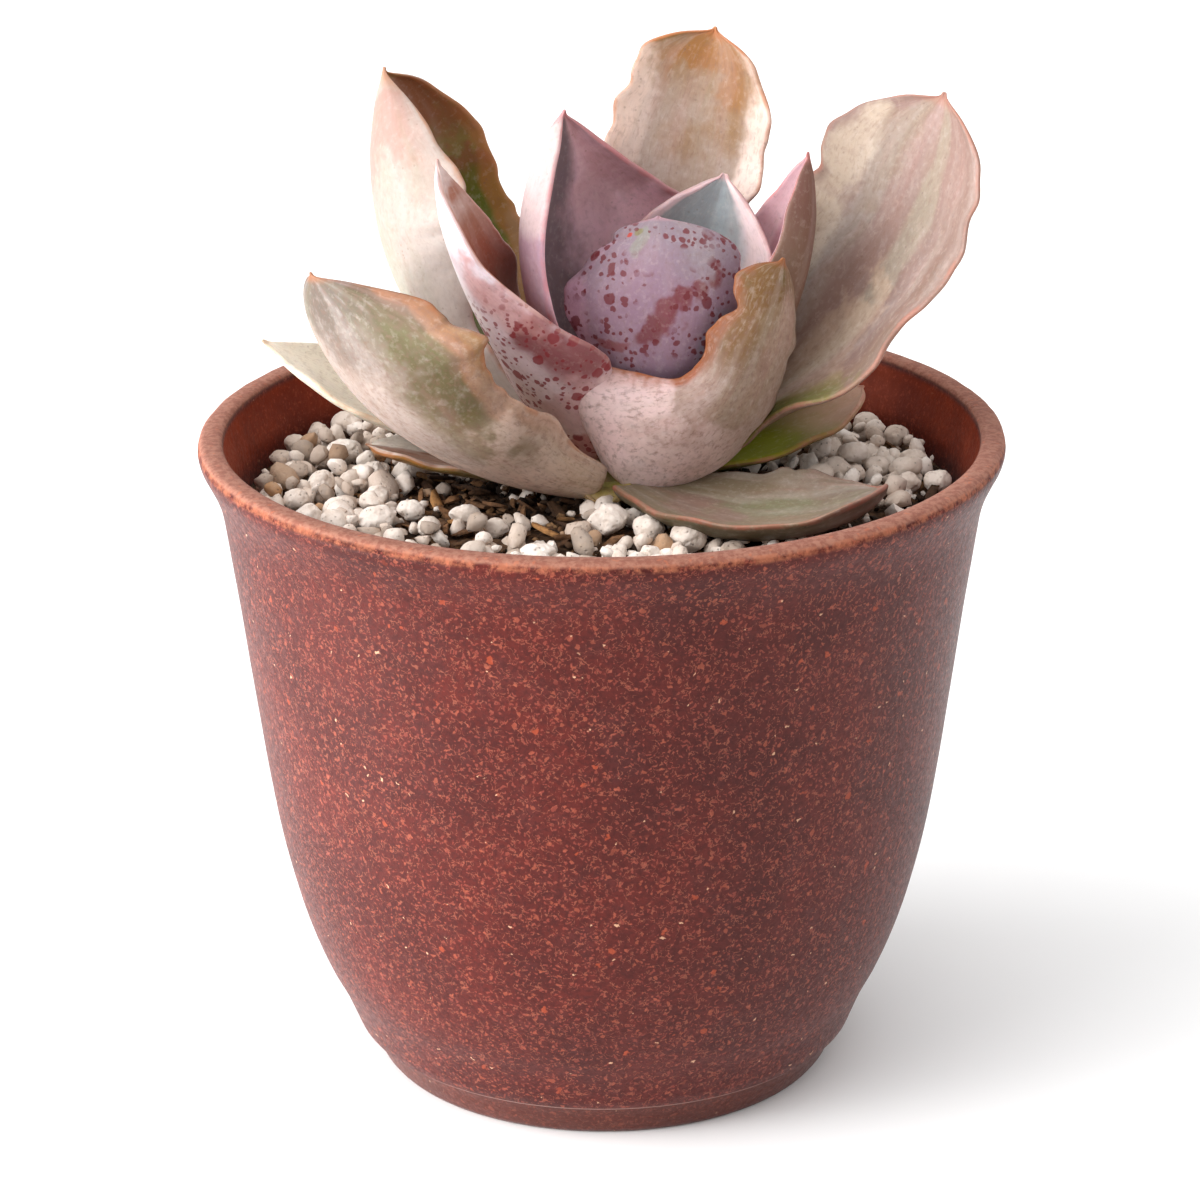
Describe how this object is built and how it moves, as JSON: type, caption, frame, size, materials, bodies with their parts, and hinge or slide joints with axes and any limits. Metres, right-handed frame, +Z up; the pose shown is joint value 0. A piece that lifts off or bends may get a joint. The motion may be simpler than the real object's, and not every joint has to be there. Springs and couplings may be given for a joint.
{
  "type": "potted succulent",
  "caption": "Rosette succulent with broad cupped leaves on a short stem, set in soil and pale stones in a round flared pot with a foot ring.",
  "frame": {"origin": "centre of the foot ring's resting face", "axes": "+Z up along the pot's axis; the plant's most open side faces -Y"},
  "size_m": [0.11, 0.11, 0.1422],
  "materials": {
    "pot": "satin brick-red body with fine orange and pale flecks",
    "soil": "matt dark potting soil with bark crumbs",
    "stem": "matt green-brown plant stem",
    "leaf": "fleshy leaf skin with a pale powdery bloom, pink, mauve and olive",
    "stone": "dry warm-white worn stone"
  },
  "bodies": {
    "root": {"pot": "pot", "stem": "stem", "soil": "soil", "leaf_heart_right": "leaf", "leaf_heart_left": "leaf", "leaf_inner_back": "leaf", "leaf_inner_front": "leaf", "leaf_folded_right": "leaf", "leaf_upright_left": "leaf", "leaf_folded_left": "leaf", "leaf_back": "leaf", "leaf_front_right": "leaf", "leaf_tall_left": "leaf", "leaf_tall_right": "leaf", "leaf_front_left": "leaf", "leaf_rear_right": "leaf", "leaf_rear_left": "leaf", "leaf_low_right_back": "leaf", "leaf_low_left_back": "leaf", "leaf_low_right_front": "leaf", "leaf_low_left_front": "leaf", "leaf_stub": "leaf", "stone_01": "stone", "stone_02": "stone", "stone_03": "stone", "stone_04": "stone", "stone_05": "stone", "stone_06": "stone", "stone_07": "stone", "stone_08": "stone", "stone_09": "stone", "stone_10": "stone", "stone_11": "stone", "stone_12": "stone", "stone_13": "stone", "stone_14": "stone", "stone_15": "stone", "stone_16": "stone", "stone_17": "stone", "stone_18": "stone", "stone_19": "stone", "stone_20": "stone", "stone_21": "stone", "stone_22": "stone", "stone_23": "stone", "stone_24": "stone", "stone_25": "stone", "stone_26": "stone", "stone_27": "stone", "stone_28": "stone", "stone_29": "stone", "stone_30": "stone", "stone_31": "stone", "stone_32": "stone", "stone_33": "stone", "stone_34": "stone", "stone_35": "stone", "stone_36": "stone"}
  },
  "joints": []
}
